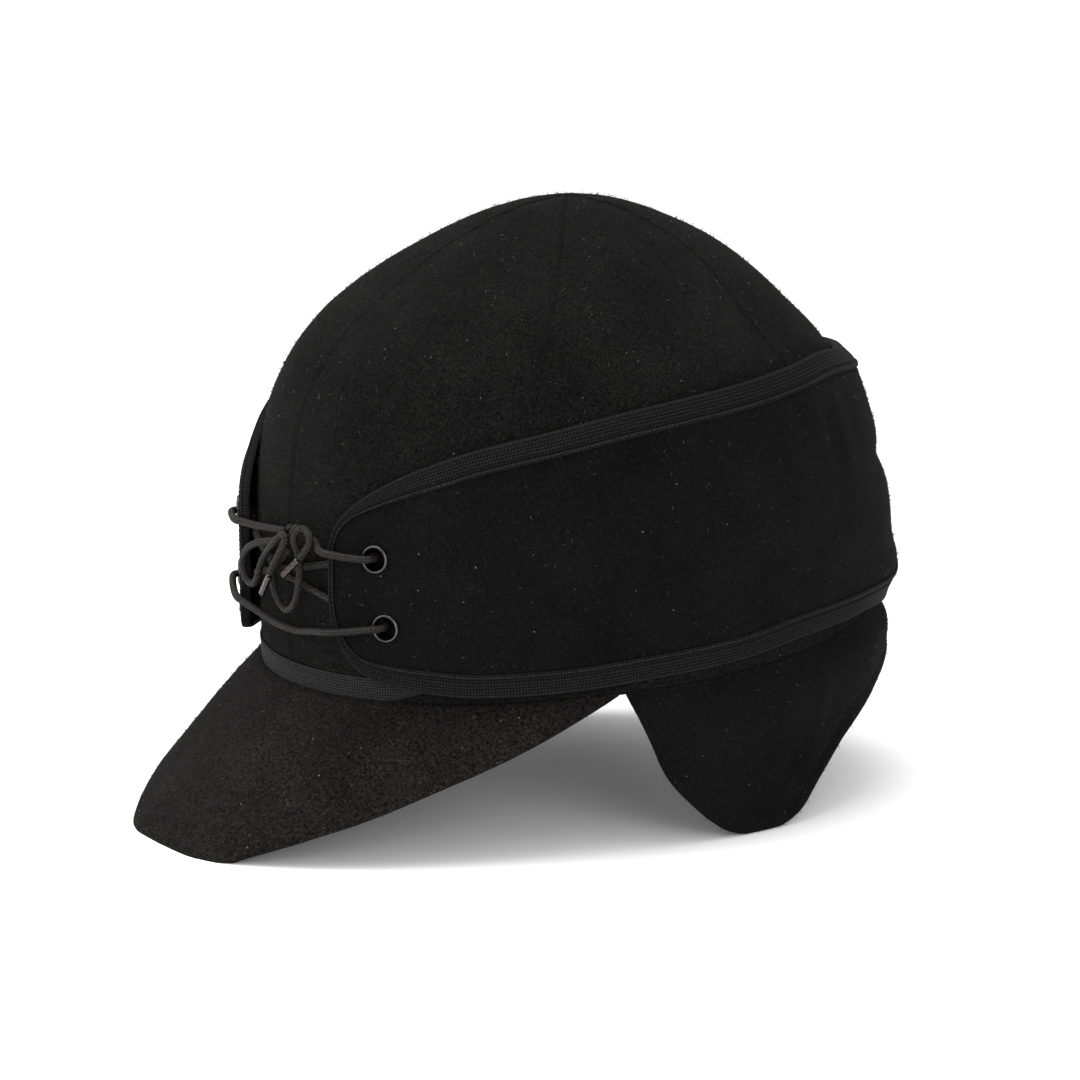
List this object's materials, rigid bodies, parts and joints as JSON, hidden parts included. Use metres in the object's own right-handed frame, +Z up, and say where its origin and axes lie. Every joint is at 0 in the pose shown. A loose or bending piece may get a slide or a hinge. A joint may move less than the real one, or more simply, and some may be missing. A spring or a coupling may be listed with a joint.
{
  "type": "railroad engineer cap",
  "caption": "Round six-panel wool cap with a short steep bill, a laced wrap-around ear band bound with braid tape, and its ear flap pulled down.",
  "frame": {"origin": "on the floor under the middle of the cap's box", "axes": "+Z up, -Y towards the bill, +X towards the wearer's left"},
  "size_m": [0.176, 0.2476, 0.184],
  "materials": {
    "wool": "black melton wool with a short matt nap",
    "braid_tape": "black ribbed braid tape, slightly shiny",
    "lace_braid": "brown-black round braid",
    "eyelet_metal": "rolled gunmetal",
    "tip_metal": "bright crimped metal"
  },
  "bodies": {
    "root": {"crown": "wool", "bill": "wool", "ear_flap": "wool", "ear_band": "wool", "band_tape_top": "braid_tape", "band_tape_bottom": "braid_tape", "rim_tape": "braid_tape", "eyelet_left_upper": "eyelet_metal", "eyelet_left_lower": "eyelet_metal", "eyelet_right_upper": "eyelet_metal", "eyelet_right_lower": "eyelet_metal", "lace": "lace_braid", "bow_knot": "lace_braid", "bow_cord_near": "lace_braid", "bow_cord_far": "lace_braid", "aglet_near": "tip_metal", "aglet_far": "tip_metal"}
  },
  "joints": []
}
